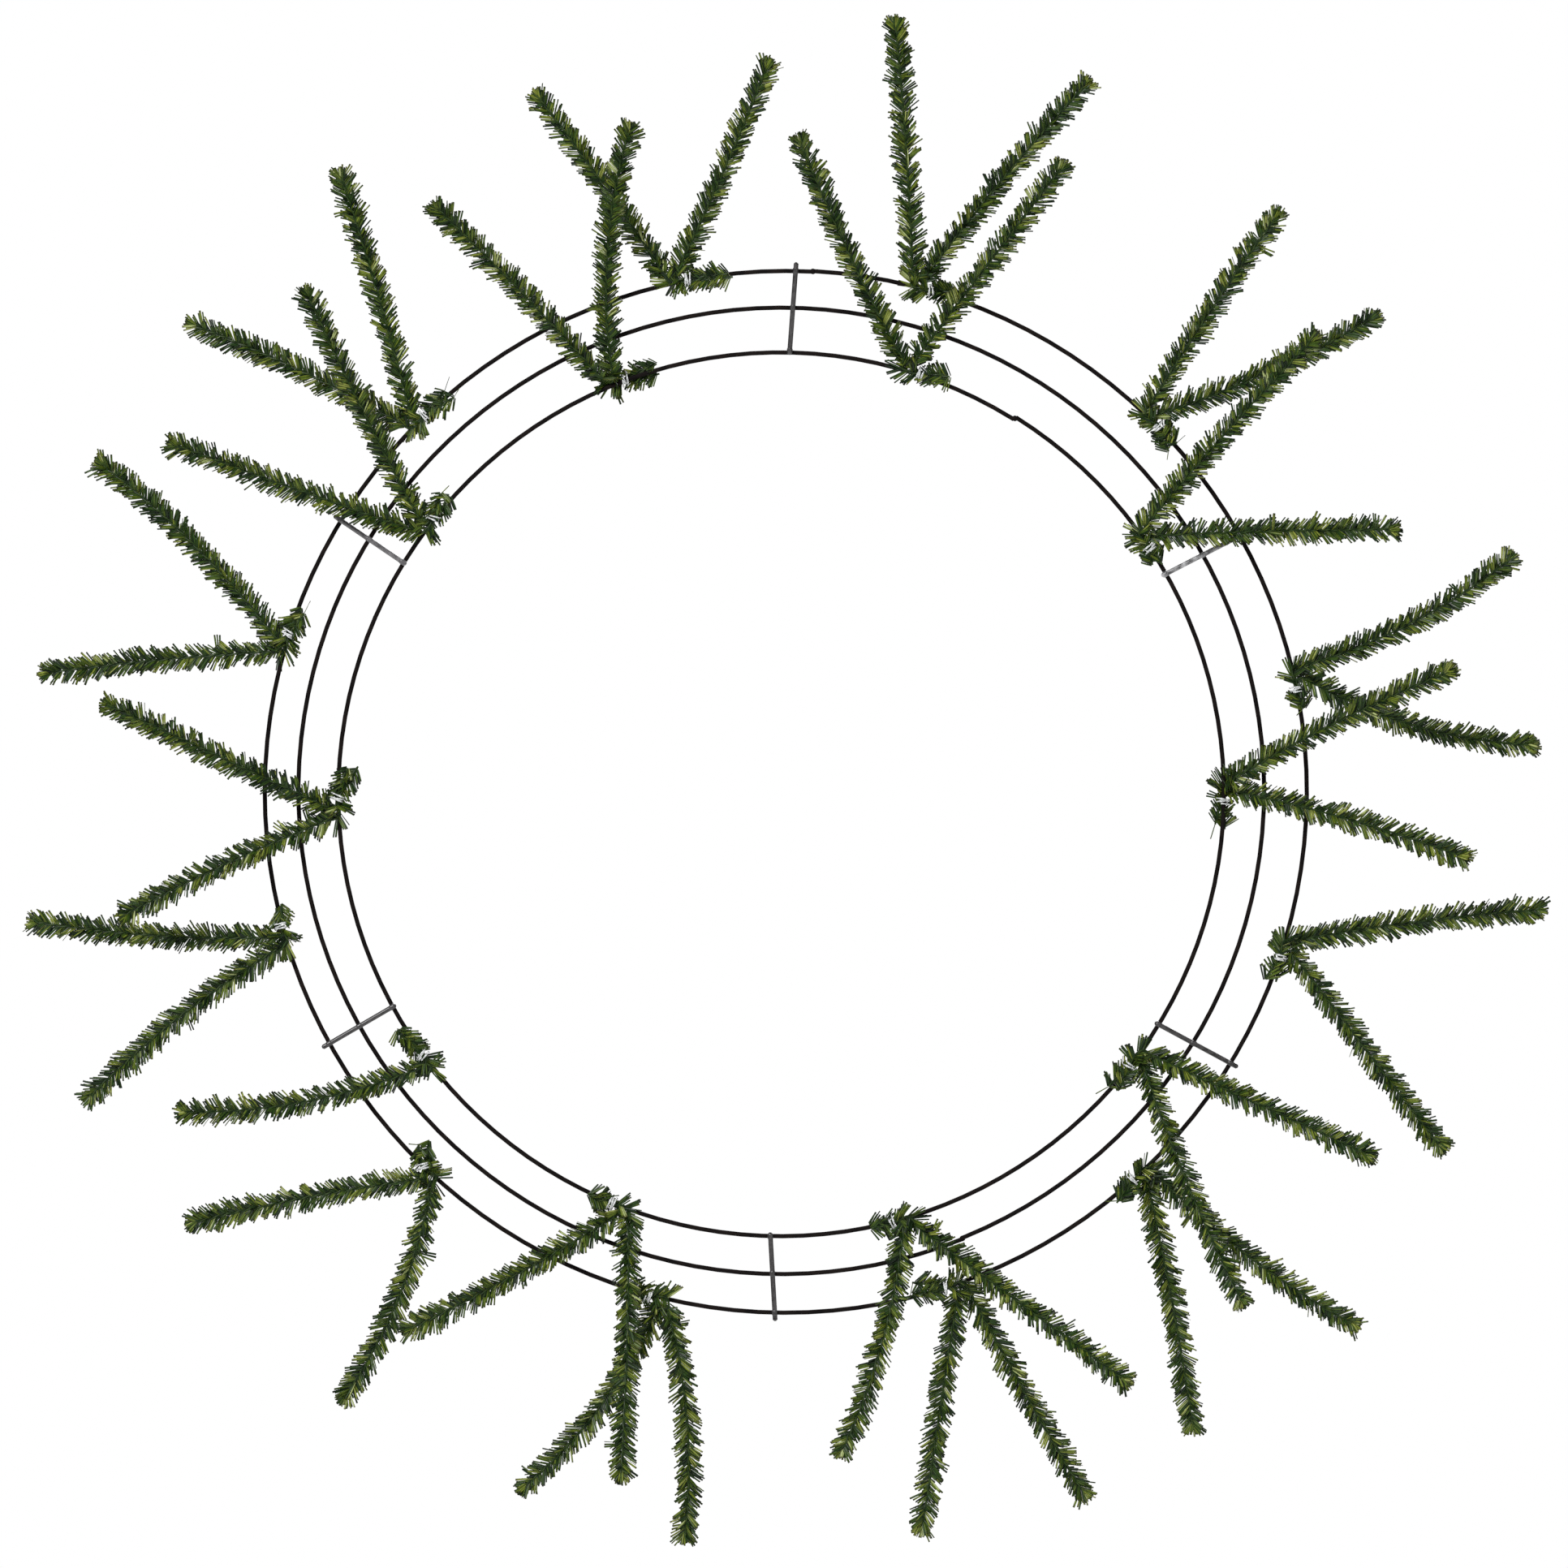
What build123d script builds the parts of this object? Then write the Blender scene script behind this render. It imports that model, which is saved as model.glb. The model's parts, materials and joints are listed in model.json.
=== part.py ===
from build123d import *

import os
from math import cos, degrees, radians, sin

# Wire wreath frame with pine ties.
#
# Three wire rings are held apart by six short spokes, which are welded on in front of them. Pine ties
# are bound to the outer and the inner ring with clear bands. A tie is two stems of PVC pine on a twisted
# wire core: their short ends lie together along the ring as a tail, and their long ends spread as arms.
#
# The rings lie in the XZ plane, +Z is up, the front faces -Y, and the origin is the outer ring's centre.
# Clock angles run clockwise from the top, as seen from the front. Lengths are in mm, angles in degrees.

# Rings: diameters over the wire, and where each ring's wire ends are butted together
RING_WIRE = 1.6
OUTER_RING_DIAMETER = 381.0
MIDDLE_RING_DIAMETER = 353.3
INNER_RING_DIAMETER = 323.8
MIDDLE_RING_SHIFT = (-1.5, 0.4)  # the rings were welded a little off centre: X and Z of each centre
INNER_RING_SHIFT = (-1.9, -0.7)
BUTT_GAP = 0.3
BUTT_BEAD_RADIUS = 1.05

# Spokes: each lies across the front of the three rings and stands a little proud of the outer one
SPOKE_WIRE = 1.75
SPOKE_CLOCKS = [(1.2, 1.1), (60.3, 60.6), (121.4, 121.4), (181.3, 181.2), (241.2, 241.1), (301.5, 301.4)]
SPOKE_INSIDE = 1.4  # past the inner ring's centreline
SPOKE_OUTSIDE = 3.0  # past the outer ring's centreline
SPOKE_END_ROUNDING = 0.5
WELD_DEPTH = 0.2  # the wires are squeezed into each other by this much at a weld
WELD_RADIUS = 1.05  # of the collar of squeezed metal at a weld
WELD_HALF_LENGTH = 1.0
WELD_SHOULDER = 0.4

# Ties: (clock, turn of the tail towards the centre, length of the tail, left arm, right arm), where an
# arm is (lean, length, bow): its lean clockwise from straight out, and how far its middle bows clockwise
OUTER_TIES = [
    (14.5, -8, 13, (-18.5, 97, 1), (25.5, 97, -1.5)),
    (44, 12, 11, (-10, 88, -1), (21.5, 90, 3)),
    (77, -6, 10, (-15, 90, 5), (28, 90, 6.5)),
    (107, 6, 11, (-24, 94, -1.5), (35.5, 94, 0)),
    (136.5, -12, 12, (-9.5, 95, 4), (33, 96, -1)),
    (160.5, 19, 15, (-10, 90, 0.5), (28, 91, 0)),
    (193.5, 4, 11, (-17, 87, -4.5), (24.5, 85, -6.5)),
    (222.5, 60, 11, (-19, 87, -5), (36.5, 90, 1.5)),
    (253.5, 9, 10, (-22, 92, 3), (20.5, 92, -2.5)),
    (286, 17, 12, (-21.5, 88, 1), (28.5, 95, 3.5)),
    (314.5, 6, 14, (-19.5, 89, 2), (29, 96, 1)),
    (347.5, 7, 18, (-23, 84, 1), (36, 87, 1)),
]
INNER_TIES = [
    (16.5, -6, 13, (-42, 93, -1.5), (21, 95, 0)),
    (54.5, 12, 9, (-12.5, 98, -1), (34.5, 94, -0.5)),
    (89, 8, 12, (-25.5, 94, -2), (17.5, 93, -2)),
    (126, 0, 13, (-11.5, 94, 0), (31.5, 99, 2)),
    (163.5, 8, 10, (-37.5, 101, 0), (33, 89, -4)),
    (200.5, -1, 11, (-19, 99, -1), (41.5, 92, -1.5)),
    (232, -5, 15, None, (28.5, 93, -5)),
    (267.5, 32, 15, (-23, 88, 1.5), (28, 94, 0)),
    (306.5, -10, 12, (-17, 98, -0.5), (27.5, 98, -1)),
    (337.5, 5, 15, (-22, 92, 1), (28, 94, -6)),
]
INNER_TIES_BEHIND = [3, 10]  # numbers of the inner ties whose tail lies behind the ring wire

# Arms: the brush of needles is wider across the wreath than it is deep, from being packed flat
ARM_HALF_WIDTH = 5.2
ARM_HALF_DEPTH = 3.6
CORE_RADIUS = 0.9
ROOT_OUTWARD = 3.0  # an arm's root from the ring's centreline, outwards, forwards and along the ring
ROOT_FORWARD = 2.5
LEFT_ROOT_ALONG = -2.2
RIGHT_ROOT_ALONG = 1.8
INNER_ARM_TILT = 15.0  # forwards, over the middle and outer rings and the outer ties
OUTER_ARM_TILT = -2.0
# Where an arm's brush swells, in mm from its root, with its share of the full section
ARM_SWELL = [(3.0, 0.22), (8.0, 0.68), (14.0, 1.0)]
ARM_MIDDLE_SHARES = (0.4, 0.7)  # of its length, where a bowed arm has its middle sections
ARM_TIP_TAPER = 5.0
ARM_TIP_SHARE = 0.7

# Tails: squeezed narrow by the band, with a bud of needles beyond it
TAIL_START = -3.5  # along the ring from the tie's own clock angle
BAND_ALONG = 5.4
STEM_PAIR_RADIUS = 1.1
WAIST_HALF_WIDTH = 1.7
WAIST_HALF_DEPTH = 1.5
BUD_HALF_WIDTH = 4.2
BUD_HALF_DEPTH = 2.6
TAIL_TIP_SHARE = 0.4
BUD_FULL_FROM = 0.35  # shares of a tail's length past the band between which its bud is full
BUD_FULL_TO = 0.75
TAIL_GAP = 0.1  # between the squeezed stems and the ring's wire
BAND_WIDTH = 2.0
BAND_THICKNESS = 0.45

RING_WIRE_RADIUS = RING_WIRE / 2
SPOKE_WIRE_RADIUS = SPOKE_WIRE / 2
SPOKE_FORWARD = RING_WIRE_RADIUS + SPOKE_WIRE_RADIUS - WELD_DEPTH
TAIL_FORWARD = RING_WIRE_RADIUS + TAIL_GAP + WAIST_HALF_DEPTH
FRONT = Vector(0, -1, 0)


def outward(clock):
    """The direction straight out from the centre at a clock angle."""
    return Vector(sin(radians(clock)), 0, cos(radians(clock)))


def clockwise(clock):
    """The direction along a ring at a clock angle, clockwise as seen from the front."""
    return outward(clock + 90)


class Ring:
    """A ring's wire: its centreline's radius and its centre."""

    def __init__(self, diameter, shift=(0.0, 0.0)):
        self.radius = (diameter - RING_WIRE) / 2
        self.centre = Vector(shift[0], 0, shift[1])

    def point(self, clock):
        return self.centre + outward(clock) * self.radius


OUTER = Ring(OUTER_RING_DIAMETER)
MIDDLE = Ring(MIDDLE_RING_DIAMETER, MIDDLE_RING_SHIFT)
INNER = Ring(INNER_RING_DIAMETER, INNER_RING_SHIFT)


def finish(part, name):
    """Labels a piece and writes it as its own node."""
    part.label = name
    export_step(part, f"parts/{name}.step")
    print(f"{name}: {len(part.solids())} solids, {part.volume:.1f} mm3")


def make_ring(name, ring, butt_clock, butt_step):
    """One ring of wire, bent nearly round. Past the butt its start stands butt_step proud of its end.

    The two halves have slightly different radii and meet smoothly opposite the butt.
    """
    quarter_step = butt_step / 4
    towards_butt = outward(butt_clock)
    start_angle = 90 - butt_clock
    gap_angle = degrees(BUTT_GAP / 2 / ring.radius)
    first_centre = ring.centre + towards_butt * quarter_step
    second_centre = ring.centre - towards_butt * quarter_step
    with BuildPart() as wire_ring:
        with BuildLine(Plane.XZ) as path:
            CenterArc(
                (first_centre.X, first_centre.Z),
                ring.radius + quarter_step,
                start_angle - gap_angle,
                gap_angle - 180,
            )
            CenterArc(
                (second_centre.X, second_centre.Z),
                ring.radius - quarter_step,
                start_angle + 180,
                gap_angle - 180,
            )
        with BuildSketch(Plane(origin=path.line @ 0, z_dir=path.line % 0)):
            Circle(RING_WIRE_RADIUS)
        sweep(path=path.line)
        with Locations(ring.point(butt_clock)):
            Sphere(BUTT_BEAD_RADIUS)
    finish(wire_ring.part, name)


def make_spoke(name, inner_clock, outer_clock):
    """One spoke, turned from its outline: a rod with blunted ends and a collar at each of three welds."""
    inner_end = INNER.point(inner_clock)
    outer_end = OUTER.point(outer_clock)
    middle_weld = MIDDLE.point((inner_clock + outer_clock) / 2)
    along = (outer_end - inner_end).normalized()
    start = inner_end - along * SPOKE_INSIDE + FRONT * SPOKE_FORWARD
    length = (outer_end - inner_end).length + SPOKE_INSIDE + SPOKE_OUTSIDE
    blunted = SPOKE_WIRE_RADIUS - SPOKE_END_ROUNDING
    outline = [(0, 0), (0, blunted)]
    for weld in (inner_end, middle_weld, outer_end):
        at = max((weld - start).dot(along), WELD_HALF_LENGTH + SPOKE_END_ROUNDING)
        outline += [
            (at - WELD_HALF_LENGTH, SPOKE_WIRE_RADIUS),
            (at - WELD_HALF_LENGTH + WELD_SHOULDER, WELD_RADIUS),
            (at + WELD_HALF_LENGTH - WELD_SHOULDER, WELD_RADIUS),
            (at + WELD_HALF_LENGTH, SPOKE_WIRE_RADIUS),
        ]
    outline += [(length - SPOKE_END_ROUNDING, SPOKE_WIRE_RADIUS), (length, blunted), (length, 0)]
    with BuildPart() as spoke:
        with BuildSketch(Plane(origin=start, x_dir=along, z_dir=FRONT)):
            with BuildLine():
                Polyline(outline, close=True)
            make_face()
        revolve(axis=Axis(start, along))
    finish(spoke.part, name)


def tie_side(behind):
    """Which way a tie lies from its ring's wire: in front of it, or behind."""
    return FRONT * -1 if behind else FRONT


def band_place(ring, clock, turn, behind):
    """Where a tie's band grips its tail: the point, and the tail's direction before and after it."""
    along = clockwise(clock)
    point = ring.point(clock) + along * BAND_ALONG + tie_side(behind) * TAIL_FORWARD
    return point, along, clockwise(clock + turn)


def section_plane(point, along):
    """The plane of a brush's section, square to its stem, with its x axis across the wreath."""
    return Plane(origin=point, x_dir=along.cross(FRONT).normalized(), z_dir=along)


def tail_sections(grip, before, after, length):
    """A tail's sections: (plane, half width, half depth), from the arms' side to its free tip."""
    at_band = (before + after).normalized()
    start = grip + before * (TAIL_START - BAND_ALONG)
    return [
        (section_plane(start, before), STEM_PAIR_RADIUS, STEM_PAIR_RADIUS),
        (section_plane(grip - before * BAND_WIDTH, before), STEM_PAIR_RADIUS, STEM_PAIR_RADIUS),
        (section_plane(grip, at_band), WAIST_HALF_WIDTH, WAIST_HALF_DEPTH),
        (section_plane(grip + after * (length * BUD_FULL_FROM), after), BUD_HALF_WIDTH, BUD_HALF_DEPTH),
        (section_plane(grip + after * (length * BUD_FULL_TO), after), BUD_HALF_WIDTH, BUD_HALF_DEPTH),
        (
            section_plane(grip + after * length, after),
            BUD_HALF_WIDTH * TAIL_TIP_SHARE,
            BUD_HALF_DEPTH * TAIL_TIP_SHARE,
        ),
    ]


def make_tails(name, ring, ties, behind_numbers):
    """The tails of a ring's ties, one solid each, with the ring's wire pressed into their needles."""
    with BuildPart() as tails:
        for number, (clock, turn, length, _, _) in enumerate(ties, start=1):
            grip, before, after = band_place(ring, clock, turn, number in behind_numbers)
            for plane, half_width, half_depth in tail_sections(grip, before, after, length):
                with BuildSketch(plane):
                    Ellipse(half_width, half_depth)
            loft(ruled=True)
        with BuildLine(Plane.XZ) as wire_line:
            CenterArc((ring.centre.X, ring.centre.Z), ring.radius, 0, 360)
        with BuildSketch(Plane(origin=wire_line.line @ 0, z_dir=wire_line.line % 0)):
            Circle(RING_WIRE_RADIUS + TAIL_GAP)
        sweep(path=wire_line.line, mode=Mode.SUBTRACT)
    finish(tails.part, name)


def make_bands(name, ring, ties, behind_numbers):
    """The clear bands that grip a ring's tails, each an oval loop round the stems and the wire."""
    inner_height = 2 * (RING_WIRE_RADIUS + TAIL_GAP + WAIST_HALF_DEPTH + TAIL_GAP)
    inner_width = 2 * (WAIST_HALF_WIDTH + TAIL_GAP)
    outer_height = inner_height + 2 * BAND_THICKNESS
    outer_width = inner_width + 2 * BAND_THICKNESS
    wire_to_middle = inner_height / 2 - RING_WIRE_RADIUS - TAIL_GAP
    with BuildPart() as bands:
        for number, (clock, turn, _, _, _) in enumerate(ties, start=1):
            side = tie_side(number in behind_numbers)
            grip, before, after = band_place(ring, clock, turn, number in behind_numbers)
            middle = grip + side * (wire_to_middle - TAIL_FORWARD)
            with BuildSketch(Plane(origin=middle, x_dir=FRONT, z_dir=(before + after).normalized())):
                SlotOverall(outer_height, outer_width)
                SlotOverall(inner_height, inner_width, mode=Mode.SUBTRACT)
            extrude(amount=BAND_WIDTH / 2, both=True)
    finish(bands.part, name)


def arm_root(ring, clock, along):
    """The point that an arm bends about."""
    aside = outward(clock) * ROOT_OUTWARD + clockwise(clock) * along
    return ring.point(clock) + aside + FRONT * ROOT_FORWARD


def arm_sections(root, clock, arm, tilt):
    """An arm's sections: (plane, half width, half depth), from its root to its tip."""
    lean, length, bow = arm
    side = clockwise(clock + lean)
    direction = outward(clock + lean) * cos(radians(tilt)) + FRONT * sin(radians(tilt))
    shares = [(0.0, 0.0), *ARM_SWELL]
    shares += [(length * middle, 1.0) for middle in ARM_MIDDLE_SHARES]
    shares += [(length - ARM_TIP_TAPER, 1.0)]
    shares += [(length, ARM_TIP_SHARE)]
    sections = []
    for at, share in shares:
        far = at / length
        point = root + direction * at + side * (4 * bow * far * (1 - far))
        along = (direction * length + side * (4 * bow * (1 - 2 * far))).normalized()
        half_width = max(share * ARM_HALF_WIDTH, CORE_RADIUS)
        half_depth = max(share * ARM_HALF_DEPTH, CORE_RADIUS)
        sections.append((section_plane(point, along), half_width, half_depth))
    return sections


def make_arm(name, root, clock, arm, tilt):
    """One arm: the bare core at its root, then its brush of needles, bowed a little sideways."""
    with BuildPart() as brush:
        for plane, half_width, half_depth in arm_sections(root, clock, arm, tilt):
            with BuildSketch(plane):
                Ellipse(half_width, half_depth)
        loft(ruled=True)
    finish(brush.part, name)


def make_arms(kind, ring, ties, tilt):
    """Every arm of a ring's ties. Each bends about its root, on an axis along the ring."""
    for number, (clock, _, _, left, right) in enumerate(ties, start=1):
        for hand, along, arm in [("left", LEFT_ROOT_ALONG, left), ("right", RIGHT_ROOT_ALONG, right)]:
            if arm:
                name = f"{kind}_tie_{number:02d}_{hand}_arm"
                make_arm(name, arm_root(ring, clock, along), clock, arm, tilt)


def main():
    os.makedirs("parts", exist_ok=True)
    make_ring("outer_ring", OUTER, butt_clock=3.0, butt_step=0.2)
    make_ring("middle_ring", MIDDLE, butt_clock=158.0, butt_step=0.4)
    make_ring("inner_ring", INNER, butt_clock=32.0, butt_step=1.0)
    for number, (inner_clock, outer_clock) in enumerate(SPOKE_CLOCKS, start=1):
        make_spoke(f"spoke_{number}", inner_clock, outer_clock)
    make_tails("outer_tie_tails", OUTER, OUTER_TIES, [])
    make_tails("inner_tie_tails", INNER, INNER_TIES, INNER_TIES_BEHIND)
    make_bands("outer_tie_bands", OUTER, OUTER_TIES, [])
    make_bands("inner_tie_bands", INNER, INNER_TIES, INNER_TIES_BEHIND)
    make_arms("outer", OUTER, OUTER_TIES, OUTER_ARM_TILT)
    make_arms("inner", INNER, INNER_TIES, INNER_ARM_TILT)


main()
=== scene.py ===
"""Looks of a wire wreath frame with pine ties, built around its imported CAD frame.

Lengths are in metres. The rings lie in the XZ plane, +Z is up and the front faces -Y.
"""

import json
from math import cos, pi, radians, sin

import bpy
import numpy as np
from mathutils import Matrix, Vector


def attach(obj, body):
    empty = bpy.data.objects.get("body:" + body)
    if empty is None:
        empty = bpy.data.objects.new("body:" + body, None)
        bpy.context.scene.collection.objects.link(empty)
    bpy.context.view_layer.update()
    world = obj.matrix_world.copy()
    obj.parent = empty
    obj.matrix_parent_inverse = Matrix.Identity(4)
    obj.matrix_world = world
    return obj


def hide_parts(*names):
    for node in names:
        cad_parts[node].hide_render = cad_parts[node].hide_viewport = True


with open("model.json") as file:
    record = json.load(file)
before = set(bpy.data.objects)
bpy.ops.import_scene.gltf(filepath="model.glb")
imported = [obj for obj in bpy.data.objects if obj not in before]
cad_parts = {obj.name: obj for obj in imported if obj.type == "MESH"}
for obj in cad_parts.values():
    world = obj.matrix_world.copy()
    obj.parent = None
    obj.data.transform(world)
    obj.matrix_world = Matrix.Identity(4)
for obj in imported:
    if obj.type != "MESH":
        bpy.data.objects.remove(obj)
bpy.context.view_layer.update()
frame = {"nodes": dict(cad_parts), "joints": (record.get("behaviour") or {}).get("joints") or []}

MM = 0.001
FRONT = np.array([0.0, -1.0, 0.0])
SEED = 20
ROOT_BODY = "wire_frame"
TIE_KINDS = ["outer", "inner"]

# Lacquer: dark and light colour of its patches, gloss, roughness from and to, and scale of the patches
RING_NODES = ["outer_ring", "middle_ring", "inner_ring"]
RING_COLOURS = ((0.0045, 0.0038, 0.0040), (0.0110, 0.0080, 0.0070))
RING_COAT = (0.02, (0.5, 0.65), 220.0)
# Some spokes are lighter, a painted highlight where the light falls on them at their angle
SPOKE_COLOURS = {
    "spoke_lacquer_dark": ([1, 3, 4, 5], (0.014, 0.013, 0.013), (0.045, 0.042, 0.043)),
    "spoke_lacquer_grey_sheen": ([6], (0.06, 0.058, 0.062), (0.16, 0.155, 0.16)),
    "spoke_lacquer_glare": ([2], (0.03, 0.03, 0.031), (0.42, 0.42, 0.43)),
}
SPOKE_COAT = (0.5, (0.3, 0.5), 420.0)
LACQUER_PATCHES = (0.35, 0.72)  # the noise where a patch is darkest and where it is lightest
LACQUER_GRAIN = 6  # grains in the width of one patch

# Film and plastic: colours along a ramp, from 0 to 1
# The palest needle greens are a painted sheen
NEEDLE_GREENS = [
    (0.0, (0.004, 0.014, 0.003)),
    (0.25, (0.016, 0.042, 0.006)),
    (0.5, (0.050, 0.084, 0.008)),
    (0.75, (0.112, 0.148, 0.016)),
    (0.9, (0.200, 0.232, 0.050)),
    (1.0, (0.270, 0.322, 0.135)),
]
# Needle foot to end: the darker foot is painted shade by the core; the dark cut end is the film's own
NEEDLE_FOOT_SHADE_TO_END = [
    (0.0, (0.42, 0.45, 0.36)),
    (0.4, (1.0, 1.0, 1.0)),
    (0.82, (1.0, 1.0, 1.0)),
    (1.0, (0.22, 0.18, 0.14)),
]
# Crease to edge: a painted highlight along the crease; the darker edges are partly the film's own and
# partly painted shade between needles
NEEDLE_CREASE_HIGHLIGHT_TO_EDGE_SHADE = [
    (0.0, (1.25, 1.22, 1.15)),
    (0.6, (0.9, 0.88, 0.82)),
    (1.0, (0.52, 0.48, 0.4)),
]
CORE_GREENS = [
    (0.0, (0.006, 0.015, 0.004)),
    (0.55, (0.014, 0.030, 0.007)),
    (0.8, (0.045, 0.070, 0.018)),
    (1.0, (0.09, 0.125, 0.04)),
]
BAND_TINTS = ((0.42, 0.44, 0.44), (0.88, 0.89, 0.89))
NOISE_LOW = 0.3  # nearly all of a noise lies between these two
NOISE_HIGH = 0.7

# Camera: level with the wreath's middle, far off, with a long lens
CAMERA_AIM = (-0.6 * MM, 0.0, 2.8 * MM)
CAMERA_DISTANCE = 3.2
CAMERA_REACH = 100
FRAMED_WIDTH = 570.9 * MM
SENSOR_WIDTH = 36.0

# Studio: a white sky and floor, and square lights with their place, size and power in watts
SKY_SEEN = 1.0
SKY_LIGHT = 0.24
FLOOR_DROP = 0.75
FLOOR_RADIUS = 1.5
FLOOR_SIDES = 96
FLOOR_TINTS = ((0.84, 0.84, 0.84), (0.87, 0.87, 0.87))
FLOOR_GLOW = 0.45
LIGHTS = {
    "key": ((-1.3, -2.3, 1.9), 0.8, 120),
    "fill": ((2.0, -1.8, 0.6), 1.6, 22),
    "back": ((0.4, 2.2, 1.6), 1.6, 75),
}

# A pair of values below is the mean and the spread of a normal draw, or the range of an even one,
# as its comment says. Angles without a comment are in radians.

# A needle: a thin strip of film with a crease along its middle, narrower at its foot
NEEDLE_LENGTH = 5.75 * MM
NEEDLE_LENGTH_SPREAD = 0.42 * MM
NEEDLE_WIDTH = 0.64 * MM
NEEDLE_WIDTH_SHARES = (0.75, 1.25)  # range
NEEDLE_FOOT_WIDTH = 0.75  # of the width
NEEDLE_WIDENING = 2.2  # the full width is reached at 1/2.2 of the length
NEEDLE_THICKNESS = 0.12 * MM
NEEDLE_CREASE = 0.08 * MM
NEEDLE_STATIONS = np.array([0.0, 0.5, 1.0])
NEEDLE_TWIST = 0.35  # spread of the turn from foot to end
NEEDLE_CURL = (0.02, 0.035)  # mean and spread, of the length

# A tuft: needles side by side in a fan
NEEDLES_PER_TUFT = 3
NEEDLE_SPACING = 0.52 * MM
FAN_SPREAD = (0.06, 0.04)  # mean and spread, for each needle off the middle one
FAN_JITTER = 0.025
FAN_LIFT = 0.045
EDGE_ON_SHARE = 0.12  # of the needles stand anyhow, and the others nearly flat in the fan
EDGE_ON_ROLL = 1.4
ROLL_SPREAD = 0.25
MISSING_SHARE = 0.1
TUFT_LENGTH_SPREAD = 0.36 * MM
TUFT_TONE_SPREAD = 0.2

# A brush: tufts on both sides of a twisted core, which stand up and down by turns
TUFT_STEP = 1.2 * MM
TUFT_JITTER = 0.14 * MM
HALF_TWIST = 4.2 * MM
PRESSED_FLAT = 0.68  # of a half turn: the needles don't stand straight up from the wreath
RISE_SPREAD = 0.12
BUNCH_EDGE = 0.36  # of a half turn from a bunch's middle: past it, most needles are missing
BUNCH_EDGE_KEPT = 0.2
SLANT = radians(53)
SLANT_SPREAD = radians(3.5)
SLANT_WAVE = radians(5)
SLANT_WAVE_LENGTH = 9 * MM
STRAY_SHARE = 0.06
STRAY_LEAN = 0.4
STRAY_LENGTH = 1.12  # of the other needles' length
PAINTED_SHEEN_SWING = 0.22  # painted sheen: stretches of a stem are paler than others
PAINTED_SHEEN_LENGTH = 7 * MM
SIDE_LAG = 1.5  # how far one side's slant lags behind the other side's
ANY_PHASE = 6  # nearly a full turn: a wave may start anywhere
TONE_SHAPE = (3.2, 4.2)  # of a beta draw: mostly middle greens, few pale ones
FOOT_DEPTH = 0.6  # of the core's strand offset

# An arm's own brush is plain. A shorter one fills it near its core, darker as painted shade under the outer
# needles; the squeezed tails and bends get a little painted shade too
INNER_BRUSH = {"reach": 0.5, "fullness": 0.8, "shaded_tone": 0.5}
TAIL_BRUSH = {"reach": 0.85, "slant": radians(50), "fullness": 1.1, "shaded_tone": 0.8, "tousle": 2.2}
BEND_BRUSH = {"reach": 1.02, "slant": radians(60), "fullness": 1.3, "shaded_tone": 0.9, "tousle": 2.6}

# A stem's core
CORE_STRAND_RADIUS = 0.34 * MM
CORE_STRAND_OFFSET = 0.3 * MM
CORE_SIDES = 7
CORE_STEP = 0.4 * MM
CORE_TONE = 0.35
# painted highlight: a strand is paler where its turn brings it to the front
CORE_FRONT_HIGHLIGHT_SWING = 0.3

# An arm's two ends
ARM_BARE_ROOT = 0.6 * MM
ARM_BARE_TIP = 4.3 * MM
TIP_CLOSING = 9 * MM
TIP_SLANT = 0.6  # of the usual slant, at the very tip
TIP_NEEDLES = 10
TIP_DEPTH = 1.6 * MM
TIP_LEAN = 0.62
TIP_LEAN_SPREAD = 0.09
TIP_RISE = 0.5
TIP_LENGTH_SHARES = (0.75, 1.08)  # range
TIP_HIGHLIGHT_TONE_SHAPE = (2.0, 1.6)  # of a beta draw: paler than the brush, a painted highlight on the rounded tips

# Reading an arm and a tail from their CAD solids
ARM_END_DEPTH = 1.5 * MM
ARM_BOW_SECTIONS = ((0.33, 0.47), (0.63, 0.77))  # of the arm's length
ARM_POINTS = 60
TAIL_START_DEPTH = 0.3 * MM
TAIL_END_DEPTH = 0.6 * MM

# A tail: two stems beside each other under the band, which part towards their ends
STEM_OFFSET = 0.5 * MM
TAIL_PARTING = (0.3 * MM, 2.8 * MM)  # range
TAIL_CUT = (-0.6 * MM, 1.4 * MM)  # range
TAIL_TRIM = 2.2 * MM
TAIL_CORE_SHOWS = 0.3 * MM
BARE_BEFORE_BAND = 1.8 * MM
BARE_AFTER_BAND = 1.5 * MM
BEND_START_LEAST = 0.5 * MM  # past the tail's start
BEND_LENGTH = 2.2 * MM
BEND_CORNER = 0.4 * MM
LONE_STEM_END = 3 * MM  # before the root of the one arm, where a tie has only one

# A wisp: one long strip that hangs from a stem's cut end
WISP_SHARE = 0.3  # of the stems have one
WISP_LENGTH = 5.5 * MM
WISP_LENGTH_SHARES = (0.6, 1.1)  # range
WISP_WIDTH = 0.6  # of a needle's
WISP_LEAN = 0.9
WISP_RISE = (-0.2, 0.5)  # range
WISP_ROLL = 1.2
WISP_TWIST = 0.8
WISP_CURL = 0.12
WISP_TONES = (0.2, 0.8)  # range

# Bands: a clear strand in two or three turns
BAND_STRAND_RADIUS = 0.36 * MM
BAND_TURNS = 2.5
BAND_SPREAD = 2.1 * MM
BAND_WANDER = 0.5 * MM
BAND_TILT = 0.5
BAND_STEPS = 96
BAND_SWELL = 1.25  # the real turns also go round needles, which the plain CAD band leaves out
BAND_UNEVEN = 0.05
BAND_SIDES = 8
BAND_LUMPS = 5  # places in a turn where the strand is thicker
BAND_STRAND_MEAN = 0.85  # of its radius
BAND_STRAND_SWING = 0.2

# A path's direction is taken over this much on both sides of a place
HEADING_REACH = 0.4 * MM


def unit(vectors):
    """Rows scaled to length 1."""
    return vectors / np.linalg.norm(vectors, axis=-1, keepdims=True)


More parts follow.
